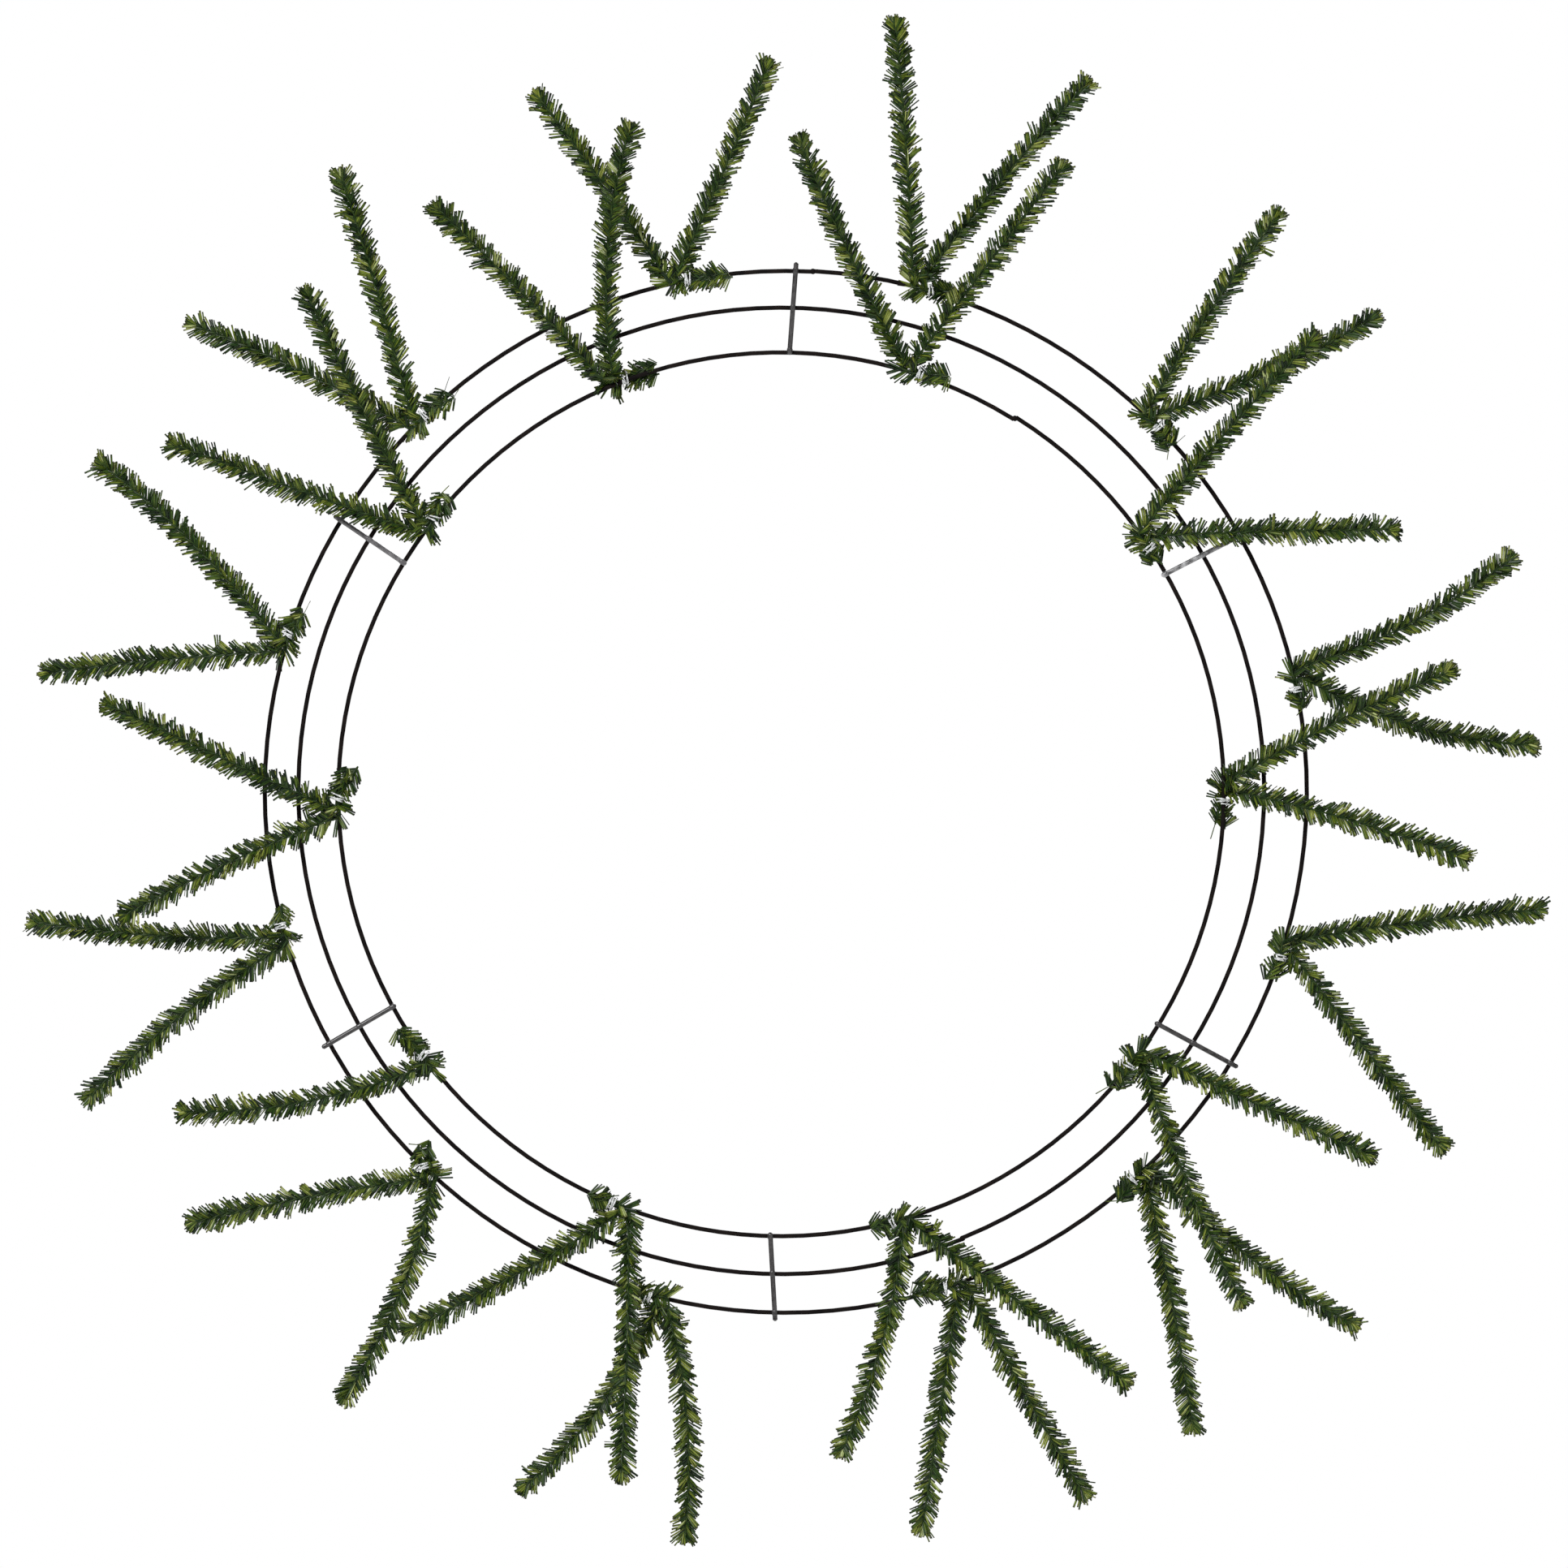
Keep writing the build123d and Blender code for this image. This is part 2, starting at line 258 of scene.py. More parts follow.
class Path:
    """A line through points, read by the distance along it."""

    def __init__(self, points):
        self.points = np.array(points, float)
        steps = np.linalg.norm(np.diff(self.points, axis=0), axis=1)
        self.distances = np.concatenate([[0.0], np.cumsum(steps)])
        self.length = self.distances[-1]

    def point(self, distance):
        axes = [np.interp(distance, self.distances, self.points[:, axis]) for axis in range(3)]
        return np.stack(axes, axis=-1)

    def axes(self, distance):
        """The path's direction there, the direction across it and the one towards the front."""
        along = unit(self.point(distance + HEADING_REACH) - self.point(distance - HEADING_REACH))
        across = unit(np.cross(along, FRONT))
        return along, across, np.cross(across, along)


def curve_points(start, control, end, count=24):
    """Points along the quadratic curve that leaves start and reaches end, bent towards control."""
    share = np.linspace(0, 1, count)[:, None]
    return start * (1 - share) ** 2 + control * 2 * share * (1 - share) + end * share**2


# ---------------------------------------------------------------- meshes


class MeshParts:
    """Vertices, faces and per-vertex values, gathered piece by piece into one mesh."""

    def __init__(self):
        self.vertices = []
        self.faces = []
        self.values = {"along": [], "tone": [], "edge": []}
        self.materials = []
        self.count = 0

    def add(self, vertices, faces, along, tone, edge, material=0):
        """Adds pieces of the same shape. vertices is (pieces, points, 3) and faces is one piece's.

        along runs from a strip's foot to its end, tone from dark to pale, and edge is 1 at its edges.
        """
        pieces, points, _ = vertices.shape
        for piece in range(pieces):
            first = self.count + piece * points
            self.faces.extend([[first + corner for corner in face] for face in faces])
        self.materials.extend([material] * (pieces * len(faces)))
        self.vertices.append(vertices.reshape(-1, 3))
        self.count += pieces * points
        for name, value in (("along", along), ("tone", tone), ("edge", edge)):
            self.values[name].append(np.broadcast_to(value, (pieces, points)).reshape(-1))

    def build(self, name, materials, smooth=False):
        """The mesh object, with the values as attributes that its materials read."""
        mesh = bpy.data.meshes.new(name)
        mesh.from_pydata(np.concatenate(self.vertices), [], self.faces)
        for key, value in self.values.items():
            layer = mesh.attributes.new(key, "FLOAT", "POINT")
            layer.data.foreach_set("value", np.concatenate(value).astype(np.float32))
        for material in materials:
            mesh.materials.append(material)
        mesh.polygons.foreach_set("material_index", self.materials)
        if smooth:
            mesh.polygons.foreach_set("use_smooth", [True] * len(mesh.polygons))
        mesh.update()
        piece = bpy.data.objects.new(name, mesh)
        bpy.context.scene.collection.objects.link(piece)
        return piece


def tube_faces(stations, sides):
    """Faces of a closed tube whose vertices run round one station after another."""
    faces = []
    for station in range(stations - 1):
        for side in range(sides):
            after = (side + 1) % sides
            first = station * sides
            second = first + sides
            faces.append([first + side, first + after, second + after, second + side])
    faces.append(list(range(sides - 1, -1, -1)))
    faces.append([(stations - 1) * sides + side for side in range(sides)])
    return faces


def tube(points, radii, sides, twist_axes):
    """Vertices of a round tube along points. twist_axes are two unit directions across it at each point."""
    angles = np.linspace(0, 2 * pi, sides, endpoint=False)
    first, second = twist_axes
    circle = (
        first[:, None, :] * np.cos(angles)[None, :, None]
        + second[:, None, :] * np.sin(angles)[None, :, None]
    )
    return points[:, None, :] + circle * np.asarray(radii)[:, None, None]


# ---------------------------------------------------------------- pine stems


def add_needles(parts, base, direction, level, roll, twist, length, width, curl, tone):
    """Flat needles, each a thin closed strip with a shallow crease, one for each row.

    A strip's width lies along level at no roll, and turns by its twist from its foot to its end.
    """
    stations = NEEDLE_STATIONS[None, :, None, None]
    upright = np.cross(level, direction)
    turn = (roll[:, None] + twist[:, None] * NEEDLE_STATIONS[None, :])[:, :, None, None]
    width_way = level[:, None, None, :] * np.cos(turn) + upright[:, None, None, :] * np.sin(turn)
    normal = upright[:, None, None, :] * np.cos(turn) - level[:, None, None, :] * np.sin(turn)
    middle = (
        base[:, None, None, :]
        + direction[:, None, None, :] * (length[:, None, None, None] * stations)
        + upright[:, None, None, :] * (curl * length)[:, None, None, None] * stations**2
    )
    widening = (1 - NEEDLE_FOOT_WIDTH) * np.minimum(1, stations * NEEDLE_WIDENING)
    half = width[:, None, None, None] / 2 * (NEEDLE_FOOT_WIDTH + widening)
    side_share = np.array([-1, 0, 1, 1, 0, -1])[None, None, :, None]
    rise = np.array([-0.5, -0.5, -0.5, 0.5, 0.5, 0.5]) * NEEDLE_THICKNESS
    rise += np.array([0, 1, 0, 0, 1, 0]) * NEEDLE_CREASE
    vertices = middle + width_way * half * side_share + normal * rise[None, None, :, None]
    count = len(base)
    stations_count = len(NEEDLE_STATIONS)
    along = np.repeat(NEEDLE_STATIONS, 6)[None, :]
    edge = np.tile([1, 0, 1, 1, 0, 1], stations_count)[None, :]
    parts.add(
        vertices.reshape(count, stations_count * 6, 3),
        tube_faces(stations_count, 6),
        along,
        tone[:, None],
        edge,
    )


def add_tuft(parts, base, direction, fan_normal, length, tone, rng):
    """Needles side by side in a fan, one fan for each row."""
    tufts = len(base)
    in_fan = unit(np.cross(direction, fan_normal))
    for member in range(NEEDLES_PER_TUFT):
        beside = member - (NEEDLES_PER_TUFT - 1) / 2
        spread = beside * rng.normal(*FAN_SPREAD, tufts) + rng.normal(0, FAN_JITTER, tufts)
        lift = rng.normal(0, FAN_LIFT, tufts)
        way = unit(direction + in_fan * spread[:, None] + fan_normal * lift[:, None])
        edge_on = rng.random(tufts) < EDGE_ON_SHARE
        any_roll = rng.uniform(-EDGE_ON_ROLL, EDGE_ON_ROLL, tufts)
        roll = np.where(edge_on, any_roll, rng.normal(0, ROLL_SPREAD, tufts))
        level = unit(np.cross(way, fan_normal))
        kept = rng.random(tufts) > MISSING_SHARE
        add_needles(
            parts,
            (base + in_fan * (beside * NEEDLE_SPACING))[kept],
            way[kept],
            level[kept],
            roll[kept],
            rng.normal(0, NEEDLE_TWIST, tufts)[kept],
            (length + rng.normal(0, TUFT_LENGTH_SPREAD, tufts))[kept],
            (NEEDLE_WIDTH * rng.uniform(*NEEDLE_WIDTH_SHARES, tufts))[kept],
            rng.normal(*NEEDLE_CURL, tufts)[kept],
            np.clip(tone + rng.normal(0, TUFT_TONE_SPREAD, tufts), 0, 1)[kept],
        )


def add_brush(
    parts,
    path,
    first,
    last,
    rng,
    reach=1.0,
    slant=SLANT,
    fullness=1.0,
    shaded_tone=1.0,
    tousle=1.0,
    closing=False,
):
    """The needles of one stem, on both sides of its core, from one distance along its path to another.

    reach, fullness, the tone share and tousle are shares of the usual length, number, tone and disorder; a
    tone below the usual is painted shade.
    A closing brush leans in towards the path's end.
    """
    stations = np.arange(first, last, TUFT_STEP / fullness)
    tufts = 2 * len(stations)
    at = np.repeat(stations, 2) + rng.normal(0, TUFT_JITTER, tufts)
    side = np.tile([1.0, -1.0], len(stations))
    phase = (at / HALF_TWIST + rng.uniform(0, 1)) % 1 - 0.5
    rise = pi * PRESSED_FLAT * phase * side + rng.normal(0, RISE_SPREAD * tousle, tufts)
    along, across, front = path.axes(at)
    sideways = across * side[:, None]
    radial = sideways * np.cos(rise)[:, None] + front * np.sin(rise)[:, None]
    fan_normal = front * np.cos(rise)[:, None] - sideways * np.sin(rise)[:, None]
    lean = rng.normal(slant, SLANT_SPREAD * tousle, tufts)
    lean += SLANT_WAVE * np.sin(at / SLANT_WAVE_LENGTH + rng.uniform(0, ANY_PHASE) + SIDE_LAG * side)
    stray = rng.random(tufts) < STRAY_SHARE
    lean += np.where(stray, rng.normal(0, STRAY_LEAN, tufts), 0)
    if closing:
        lean *= TIP_SLANT + (1 - TIP_SLANT) * np.clip((path.length - at) / TIP_CLOSING, 0, 1)
    direction = unit(along * np.cos(lean)[:, None] + radial * np.sin(lean)[:, None])
    length = rng.normal(NEEDLE_LENGTH, NEEDLE_LENGTH_SPREAD, tufts) * reach
    length *= np.where(stray, STRAY_LENGTH, 1.0)
    # painted sheen: slow waves make stretches of the stem paler
    painted_sheen = 1 + PAINTED_SHEEN_SWING * np.sin(at / PAINTED_SHEEN_LENGTH + rng.uniform(0, ANY_PHASE) + side)
    # painted shade: a tone share below one darkens needles that lie under others or are squeezed together
    tone = rng.beta(*TONE_SHAPE, tufts) * shaded_tone * painted_sheen
    base = path.point(at) + radial * (CORE_STRAND_OFFSET * FOOT_DEPTH)
    kept = (np.abs(phase) < BUNCH_EDGE) | (rng.random(tufts) < BUNCH_EDGE_KEPT)
    add_tuft(parts, base[kept], direction[kept], fan_normal[kept], length[kept], tone[kept], rng)


def add_tip(parts, path, core_end, rng):
    """The needles that close a stem's tip, spread over the end of its core."""
    at = core_end - rng.uniform(0, TIP_DEPTH, TIP_NEEDLES)
    along, across, front = path.axes(at)
    lean = np.linspace(-TIP_LEAN, TIP_LEAN, TIP_NEEDLES) + rng.normal(0, TIP_LEAN_SPREAD, TIP_NEEDLES)
    rise = rng.uniform(-TIP_RISE, TIP_RISE, TIP_NEEDLES)
    direction = unit(along + across * np.tan(lean)[:, None] + front * np.tan(rise)[:, None])
    length = (path.length - at) * rng.uniform(*TIP_LENGTH_SHARES, TIP_NEEDLES)
    # painted highlight: the tip's needles are paler
    tone = rng.beta(*TIP_HIGHLIGHT_TONE_SHAPE, TIP_NEEDLES)
    add_tuft(parts, path.point(at), direction, front, length, tone, rng)


def add_wisp(parts, path, rng):
    """One long strip of film that hangs loose from a stem's cut end."""
    at = np.array([TAIL_TRIM])
    along, across, front = path.axes(at)
    lean = rng.normal(0, WISP_LEAN)
    direction = unit(front * rng.uniform(*WISP_RISE) - along * cos(lean) + across * sin(lean))
    add_needles(
        parts,
        path.point(at),
        direction,
        unit(np.cross(direction, front)),
        rng.uniform(-WISP_ROLL, WISP_ROLL, 1),
        rng.normal(0, WISP_TWIST, 1),
        WISP_LENGTH * rng.uniform(*WISP_LENGTH_SHARES, 1),
        np.array([NEEDLE_WIDTH * WISP_WIDTH]),
        rng.normal(0, WISP_CURL, 1),
        rng.uniform(*WISP_TONES, 1),
    )


def add_core(parts, path, first, last):
    """The two strands of a stem's core, twisted round each other."""
    at = np.arange(first, last, CORE_STEP)
    along, across, front = path.axes(at)
    middle = path.point(at)
    faces = tube_faces(len(at), CORE_SIDES)
    for strand in range(2):
        turn = pi * at / HALF_TWIST + pi * strand
        off = across * np.cos(turn)[:, None] + front * np.sin(turn)[:, None]
        radii = np.full(len(at), CORE_STRAND_RADIUS)
        vertices = tube(middle + off * CORE_STRAND_OFFSET, radii, CORE_SIDES, (across, front))
        # painted highlight: a strand is paler where its turn brings it to the front
        tone = CORE_TONE + CORE_FRONT_HIGHLIGHT_SWING * np.sin(turn)
        parts.add(
            vertices.reshape(1, -1, 3),
            faces,
            np.linspace(0, 1, len(at)).repeat(CORE_SIDES)[None, :],
            tone.repeat(CORE_SIDES)[None, :],
            0.0,
            material=1,
        )


# ---------------------------------------------------------------- reading the frame


def node_points(name):
    """The vertices of a node, one in each row."""
    mesh = frame["nodes"][name].data
    points = np.empty(len(mesh.vertices) * 3)
    mesh.vertices.foreach_get("co", points)
    return points.reshape(-1, 3)


def loose_parts(name):
    """The vertices of each separate solid in a node."""
    mesh = frame["nodes"][name].data
    points = node_points(name)
    _, same = np.unique(np.round(points, 7), axis=0, return_inverse=True)
    same = same.reshape(-1)
    group = np.arange(same.max() + 1)

    def leader(index):
        while group[index] != index:
            group[index] = group[group[index]]
            index = group[index]
        return index

    for edge in mesh.edges:
        a, b = leader(same[edge.vertices[0]]), leader(same[edge.vertices[1]])
        group[max(a, b)] = min(a, b)
    leaders = np.array([leader(index) for index in range(len(group))])[same]
    return [points[leaders == one] for one in np.unique(leaders)]


def middle_of(points, start, way):
    """The middle of the points' spread along a direction from a start."""
    reach = (points - start) @ way
    return (reach.min() + reach.max()) / 2


def arm_path(joint):
    """An arm's line, from its root to its tip, with the bow of its CAD solid."""
    root = np.array(joint["pos_m"])
    points = node_points(joint["child"])
    far = np.linalg.norm(points - root, axis=1)
    end = points[far > far.max() - ARM_END_DEPTH]
    rough = unit(end.mean(axis=0) - root)
    across = unit(np.cross(rough, FRONT))
    length = middle_of(end, root, rough)
    tip = root + rough * length + across * middle_of(end, root, across)
    tip += np.cross(across, rough) * middle_of(end, root, np.cross(across, rough))
    direction = unit(tip - root)
    side = unit(np.cross(direction, FRONT))
    share = (points - root) @ direction / length
    bows = []
    for low, high in ARM_BOW_SECTIONS:
        inside = (share > low) & (share < high)
        middle = share[inside].mean()
        bows.append(middle_of(points[inside], root, side) / (4 * middle * (1 - middle)))
    shares = np.linspace(0, 1, ARM_POINTS)[:, None]
    bow = 4 * np.mean(bows) * shares * (1 - shares)
    return Path(root + direction * length * shares + side * bow)


def nearest(solids, place):
    """The solid whose middle lies nearest to a place."""
    return min(solids, key=lambda solid: np.linalg.norm(solid.mean(axis=0) - place))


class Tie:
    """One tie: the roots of its arms, and where its tail and its band are."""

    def __init__(self, joints):
        self.roots = [np.array(joint["pos_m"]) for joint in joints]
        self.along = unit(np.array(joints[0]["axis"]))
        self.outward = np.cross(FRONT, self.along)
        self.knot = np.mean(self.roots, axis=0)

    def take_tail(self, solids):
        """Finds where the tail starts and ends."""
        points = nearest(solids, self.knot)
        reach = (points - self.knot) @ self.along
        self.start = points[reach < reach.min() + TAIL_START_DEPTH].mean(axis=0)
        far = np.linalg.norm(points - self.start, axis=1)
        self.tip = points[far > far.max() - TAIL_END_DEPTH].mean(axis=0)

    def take_band(self, solids):
        """Finds the band's middle and size, and where and in which direction it grips the tail."""
        points = nearest(solids, self.knot)
        self.band_middle = (points.min(axis=0) + points.max(axis=0)) / 2
        self.grip = self.start + self.along * ((self.band_middle - self.start) @ self.along)
        self.band_along = unit(unit(self.grip - self.start) + unit(self.tip - self.grip))
        self.band_across = unit(np.cross(self.band_along, FRONT))
        offsets = points - self.band_middle
        self.band_half_height = np.abs(offsets @ FRONT).max()
        self.band_half_width = np.abs(offsets @ self.band_across).max()


def find_ties(kind):
    """The ties of the outer or the inner ring, in the order of their numbers."""
    joints = {}
    for joint in frame["joints"]:
        if joint["name"].startswith(kind):
            tie_name = "_".join(joint["name"].split("_")[:3])
            joints.setdefault(tie_name, []).append(joint)
    ties = [Tie(joints[name]) for name in sorted(joints)]
    tails = loose_parts(f"{kind}_tie_tails")
    bands = loose_parts(f"{kind}_tie_bands")
    for tie in ties:
        tie.take_tail(tails)
        tie.take_band(bands)
    return ties


# ---------------------------------------------------------------- materials


def new_material(name):
    """A material with the parts of its node tree that the others are added to."""
    material = bpy.data.materials.new(name)
    material.use_nodes = True
    return material, material.node_tree.nodes, material.node_tree.links


def add_ramp(nodes, stops):
    """A colour ramp through stops, each a position and a colour."""
    ramp = nodes.new("ShaderNodeValToRGB")
    elements = ramp.color_ramp.elements
    while len(elements) < len(stops):
        elements.new(0.5)
    for element, (position, colour) in zip(elements, stops):
        element.position = position
        element.color = (*colour, 1)
    return ramp


def add_noise(nodes, links, scale, detail=3.0):
    """Noise in the object's own coordinates."""
    place = nodes.new("ShaderNodeTexCoord")
    noise = nodes.new("ShaderNodeTexNoise")
    noise.inputs["Scale"].default_value = scale
    noise.inputs["Detail"].default_value = detail
    links.new(place.outputs["Object"], noise.inputs["Vector"])
    return noise


def add_bump(nodes, links, noise, shader, strength, distance):
    """Unevenness of the surface that follows a noise."""
    bump = nodes.new("ShaderNodeBump")
    bump.inputs["Strength"].default_value = strength
    bump.inputs["Distance"].default_value = distance
    links.new(noise.outputs["Fac"], bump.inputs["Height"])
    links.new(bump.outputs["Normal"], shader.inputs["Normal"])


def vary_roughness(nodes, links, noise, shader, low, high):
    """Roughness that follows a noise, from low to high."""
    spread = nodes.new("ShaderNodeMapRange")
    spread.inputs["From Min"].default_value = NOISE_LOW
    spread.inputs["From Max"].default_value = NOISE_HIGH
    spread.inputs["To Min"].default_value = low
    spread.inputs["To Max"].default_value = high
    links.new(noise.outputs["Fac"], spread.inputs["Value"])
    links.new(spread.outputs["Result"], shader.inputs["Roughness"])


def noise_colour(nodes, links, noise, dark, light):
    """Patches of two colours that follow a noise."""
    ramp = add_ramp(nodes, [(NOISE_LOW, dark), (NOISE_HIGH, light)])
    links.new(noise.outputs["Fac"], ramp.inputs["Fac"])
    return ramp.outputs["Color"]


def value_colour(nodes, links, name, stops):
    """Colours that follow one of the values that the mesh carries."""
    ramp = add_ramp(nodes, stops)
    links.new(attribute(nodes, name), ramp.inputs["Fac"])
    return ramp.outputs["Color"]


def multiply_colour(nodes, links, first, second):
    """Two colours multiplied, channel by channel."""
    mix = nodes.new("ShaderNodeMix")
    mix.data_type = "RGBA"
    mix.blend_type = "MULTIPLY"
    mix.inputs["Factor"].default_value = 1.0
    links.new(first, mix.inputs["A"])
    links.new(second, mix.inputs["B"])
    return mix.outputs["Result"]


def attribute(nodes, name):
    """One of the values that the mesh carries."""
    node = nodes.new("ShaderNodeAttribute")
    node.attribute_name = name
    return node.outputs["Fac"]


def needle_material():
    """Cut PVC film: each needle has its own green, with darker cut ends, painted shade at its foot, a
    painted highlight along its crease, edges darkened partly by painted shade, and a soft gloss.
    """
    material, nodes, links = new_material("pine_needle_pvc")
    shader = nodes["Principled BSDF"]
    shader.inputs["Specular IOR Level"].default_value = 0.2
    greens = value_colour(nodes, links, "tone", NEEDLE_GREENS)
    # painted shade at each needle's foot by the core; the dark cut end is the film's own
    ends = value_colour(nodes, links, "along", NEEDLE_FOOT_SHADE_TO_END)
    # painted highlight along each crease; the darker edges are partly the film's own and partly painted
    # shade between needles
    edges = value_colour(nodes, links, "edge", NEEDLE_CREASE_HIGHLIGHT_TO_EDGE_SHADE)
    noise = add_noise(nodes, links, scale=900.0, detail=4.0)
    mottle = noise_colour(nodes, links, noise, dark=(0.78, 0.78, 0.78), light=(1.2, 1.2, 1.2))
    colour = greens
    for layer in (ends, edges, mottle):
        colour = multiply_colour(nodes, links, colour, layer)
    links.new(colour, shader.inputs["Base Color"])
    vary_roughness(nodes, links, noise, shader, low=0.34, high=0.52)
    add_bump(nodes, links, noise, shader, strength=0.25, distance=0.05 * MM)
    return material


def core_material():
    """The core's strands, wrapped in dark green film, with a painted highlight on the side of each turn
    that faces the front.
    """
    material, nodes, links = new_material("pine_core_film")
    shader = nodes["Principled BSDF"]
    shader.inputs["Specular IOR Level"].default_value = 0.12
    greens = value_colour(nodes, links, "tone", CORE_GREENS)
    noise = add_noise(nodes, links, scale=1400.0)
    mottle = noise_colour(nodes, links, noise, dark=(0.7, 0.7, 0.7), light=(1.2, 1.2, 1.2))
    colour = multiply_colour(nodes, links, greens, mottle)
    links.new(colour, shader.inputs["Base Color"])
    vary_roughness(nodes, links, noise, shader, low=0.35, high=0.55)
    add_bump(nodes, links, noise, shader, strength=0.3, distance=0.06 * MM)
    return material


def lacquer_material(name, dark, light, coat):
    """Painted steel wire, with scuffs and a slightly uneven coat; on the lighter spokes the pale patches
    are a painted highlight.
    """
    gloss, roughness, scale = coat
    material, nodes, links = new_material(name)
    shader = nodes["Principled BSDF"]
    shader.inputs["Specular IOR Level"].default_value = gloss
    patches = add_noise(nodes, links, scale, detail=5.0)
    colours = add_ramp(nodes, list(zip(LACQUER_PATCHES, (dark, light))))
    links.new(patches.outputs["Fac"], colours.inputs["Fac"])
    links.new(colours.outputs["Color"], shader.inputs["Base Color"])
    vary_roughness(nodes, links, patches, shader, *roughness)
    grain = add_noise(nodes, links, scale * LACQUER_GRAIN, detail=2.0)
    add_bump(nodes, links, grain, shader, strength=0.3, distance=0.04 * MM)
    return material


def band_material():
    """Clear plastic strand, a little milky, with fine creases."""
    material, nodes, links = new_material("clear_band_plastic")
    shader = nodes["Principled BSDF"]
    shader.inputs["IOR"].default_value = 1.46
    shader.inputs["Transmission Weight"].default_value = 0.3
    creases = add_noise(nodes, links, scale=1100.0, detail=4.0)
    links.new(noise_colour(nodes, links, creases, *BAND_TINTS), shader.inputs["Base Color"])
    vary_roughness(nodes, links, creases, shader, low=0.12, high=0.36)
    add_bump(nodes, links, creases, shader, strength=0.5, distance=0.08 * MM)
    return material


def floor_material():
    """A white floor that glows a little, so that it shows no edge."""
    material, nodes, links = new_material("studio_floor")
    shader = nodes["Principled BSDF"]
    shader.inputs["Roughness"].default_value = 0.9
    shader.inputs["Emission Color"].default_value = (1, 1, 1, 1)
    shader.inputs["Emission Strength"].default_value = FLOOR_GLOW
    noise = add_noise(nodes, links, scale=3.0)
    links.new(noise_colour(nodes, links, noise, *FLOOR_TINTS), shader.inputs["Base Color"])
    return material


# ---------------------------------------------------------------- pieces


def make_arm(joint, materials, rng):
    """One arm's core and needles, which turn with its body."""
    path = arm_path(joint)
    parts = MeshParts()
    core_end = path.length - ARM_BARE_TIP
    add_core(parts, path, 0.0, core_end)
    add_brush(parts, path, ARM_BARE_ROOT, core_end, rng, closing=True)
    add_brush(parts, path, ARM_BARE_ROOT, core_end, rng, **INNER_BRUSH)
    add_tip(parts, path, core_end, rng)
    arm = parts.build(joint["child"] + "_pine", materials)
    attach(arm, joint["child"])
    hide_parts(joint["child"])


def stem_path(tie, root, beside, parting, cut):
    """One stem's hidden half: from its tail's tip, under the band and round the bend to an arm's root.

    The two stems lie beside each other under the band, part towards their tips and are cut unevenly.
    """
    shift = tie.band_across * beside
    tip = tie.tip + tie.band_across * parting + unit(tie.grip - tie.tip) * cut
    root_along = (root - tie.start) @ tie.along
    bend_start = tie.start + tie.along * max(BEND_START_LEAST, root_along + BEND_LENGTH) + shift
    bend_corner = tie.start + tie.along * (root_along - BEND_CORNER)
    bend_points = curve_points(bend_start, bend_corner, root)
    return Path(np.concatenate([[tip, tie.grip + shift], bend_points]))


def make_tails(kind, ties, materials, rng):
    """The tails of one ring's ties, with the needles round each bend."""
    parts = MeshParts()
    for tie in ties:
        ends = tie.roots
        if len(ends) == 1:
            ends = [ends[0], ends[0] - tie.along * LONE_STEM_END]
        parting = rng.uniform(*TAIL_PARTING)
        for root, side in zip(ends, (1, -1)):
            cut = rng.uniform(*TAIL_CUT)
            path = stem_path(tie, root, side * STEM_OFFSET, side * parting, cut)
            tail_length = np.linalg.norm(tie.tip - tie.grip) - cut
            if rng.random() < WISP_SHARE:
                add_wisp(parts, path, rng)
            add_core(parts, path, TAIL_TRIM - TAIL_CORE_SHOWS, path.length)
            add_brush(parts, path, TAIL_TRIM, tail_length - BARE_BEFORE_BAND, rng, **TAIL_BRUSH)
            add_brush(parts, path, tail_length + BARE_AFTER_BAND, path.length, rng, **BEND_BRUSH)
    tails = parts.build(f"{kind}_tail_pine", materials)
    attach(tails, ROOT_BODY)
    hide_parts(f"{kind}_tie_tails")


def make_bands(kind, ties, material, rng):
    """Each band as a clear strand, wound round the squeezed stems and the ring's wire."""
    parts = MeshParts()
    faces = tube_faces(BAND_STEPS, BAND_SIDES)
    for tie in ties:
        share = np.linspace(0, 1, BAND_STEPS)
        angle = 2 * pi * BAND_TURNS * share + rng.uniform(0, 2 * pi)
        tilt = rng.uniform(-BAND_TILT, BAND_TILT)
        height = tie.band_half_height * BAND_SWELL - BAND_STRAND_RADIUS
        width = tie.band_half_width * BAND_SWELL - BAND_STRAND_RADIUS
        slip = BAND_SPREAD * (share - 0.5) + BAND_WANDER * np.sin(angle * 0.5 + tilt)
        slip += tilt * MM * np.sin(angle)
        swell = 1 + BAND_UNEVEN * np.sin(3 * angle + tilt)
        points = (
            tie.band_middle
            + tie.band_along * slip[:, None]
            + FRONT * (height * np.cos(angle) * swell)[:, None]
            + tie.band_across * (width * np.sin(angle) * swell)[:, None]
        )
        heading = unit(np.gradient(points, axis=0))
        outwards = unit(points - tie.band_middle)
        across = unit(np.cross(heading, outwards))
        radii = BAND_STRAND_RADIUS * (BAND_STRAND_MEAN + BAND_STRAND_SWING * np.sin(BAND_LUMPS * angle))
        vertices = tube(points, radii, BAND_SIDES, (np.cross(across, heading), across))
        parts.add(vertices.reshape(1, -1, 3), faces, share.repeat(BAND_SIDES)[None, :], 0.5, 0.0)
    bands = parts.build(f"{kind}_bands_clear", [material], smooth=True)
    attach(bands, ROOT_BODY)
    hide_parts(f"{kind}_tie_bands")


def paint(names, material):
    """Gives CAD nodes that are kept their material."""
    for name in names:
        for place in frame["nodes"][name].material_slots:
            place.material = material


# ---------------------------------------------------------------- studio


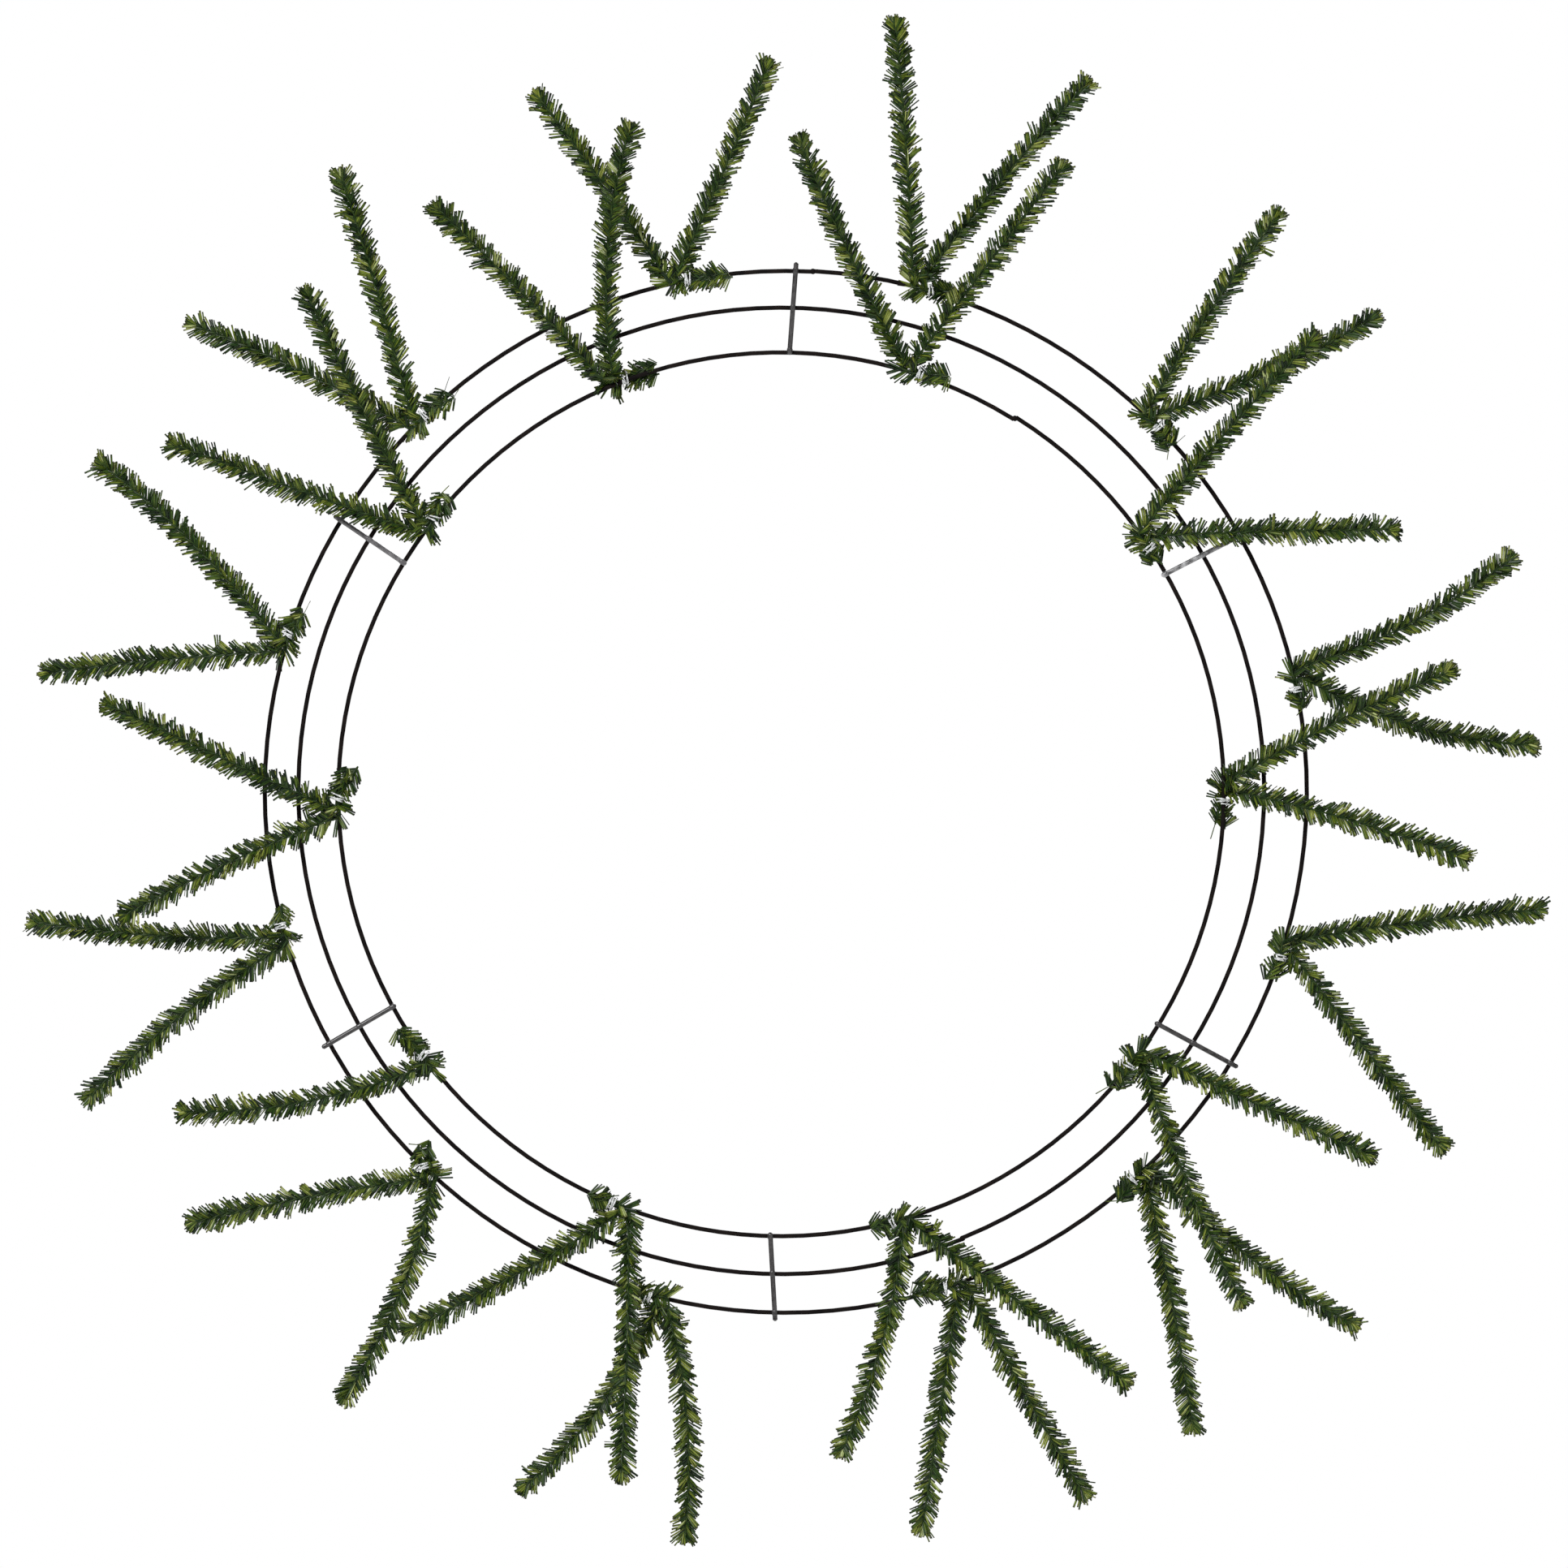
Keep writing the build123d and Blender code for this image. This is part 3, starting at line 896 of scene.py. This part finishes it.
def make_camera():
    """A camera that looks straight at the front, as in the photo."""
    data = bpy.data.cameras.new("camera")
    data.sensor_width = SENSOR_WIDTH
    data.lens = SENSOR_WIDTH * CAMERA_DISTANCE / FRAMED_WIDTH
    data.clip_end = CAMERA_REACH
    camera = bpy.data.objects.new("camera", data)
    camera.location = (CAMERA_AIM[0], -CAMERA_DISTANCE, CAMERA_AIM[2])
    camera.rotation_euler = (pi / 2, 0, 0)
    bpy.context.scene.collection.objects.link(camera)
    bpy.context.scene.camera = camera


def make_floor():
    """A round floor, well below the wreath."""
    rim = [
        (FLOOR_RADIUS * cos(angle), FLOOR_RADIUS * sin(angle), -FLOOR_DROP)
        for angle in np.linspace(0, 2 * pi, FLOOR_SIDES, endpoint=False)
    ]
    mesh = bpy.data.meshes.new("floor")
    mesh.from_pydata(rim, [], [list(range(len(rim)))])
    mesh.materials.append(floor_material())
    floor = bpy.data.objects.new("floor", mesh)
    bpy.context.scene.collection.objects.link(floor)


def make_light(name, place, size, power):
    """A square soft light at a place, turned to the wreath's centre."""
    data = bpy.data.lights.new(name, "AREA")
    data.size = size
    data.energy = power
    light = bpy.data.objects.new(name, data)
    light.location = place
    aim = -np.array(place) / np.linalg.norm(place)
    light.rotation_mode = "QUATERNION"
    light.rotation_quaternion = Vector(aim).to_track_quat("-Z", "Y")
    bpy.context.scene.collection.objects.link(light)


def make_world():
    """An even pale sky: it shows white, and fills the shadows softly."""
    world = bpy.data.worlds.new("studio")
    world.use_nodes = True
    nodes, links = world.node_tree.nodes, world.node_tree.links
    background = nodes["Background"]
    background.inputs["Color"].default_value = (1, 1, 1, 1)
    seen = nodes.new("ShaderNodeLightPath")
    strength = nodes.new("ShaderNodeMapRange")
    strength.inputs["To Min"].default_value = SKY_LIGHT
    strength.inputs["To Max"].default_value = SKY_SEEN
    links.new(seen.outputs["Is Camera Ray"], strength.inputs["Value"])
    links.new(strength.outputs["Result"], background.inputs["Strength"])
    bpy.context.scene.world = world
    bpy.context.scene.view_settings.view_transform = "Standard"


def main():
    make_camera()
    make_world()
    make_floor()
    for name, (place, size, power) in LIGHTS.items():
        make_light(name, place, size, power)
    paint(RING_NODES, lacquer_material("ring_lacquer", *RING_COLOURS, RING_COAT))
    for name, (numbers, dark, light) in SPOKE_COLOURS.items():
        spokes = [f"spoke_{number}" for number in numbers]
        paint(spokes, lacquer_material(name, dark, light, SPOKE_COAT))
    pine = [needle_material(), core_material()]
    clear = band_material()
    rng = np.random.default_rng(SEED)
    for joint in frame["joints"]:
        make_arm(joint, pine, rng)
    for kind in TIE_KINDS:
        ties = find_ties(kind)
        make_tails(kind, ties, pine, rng)
        make_bands(kind, ties, clear, rng)


main()
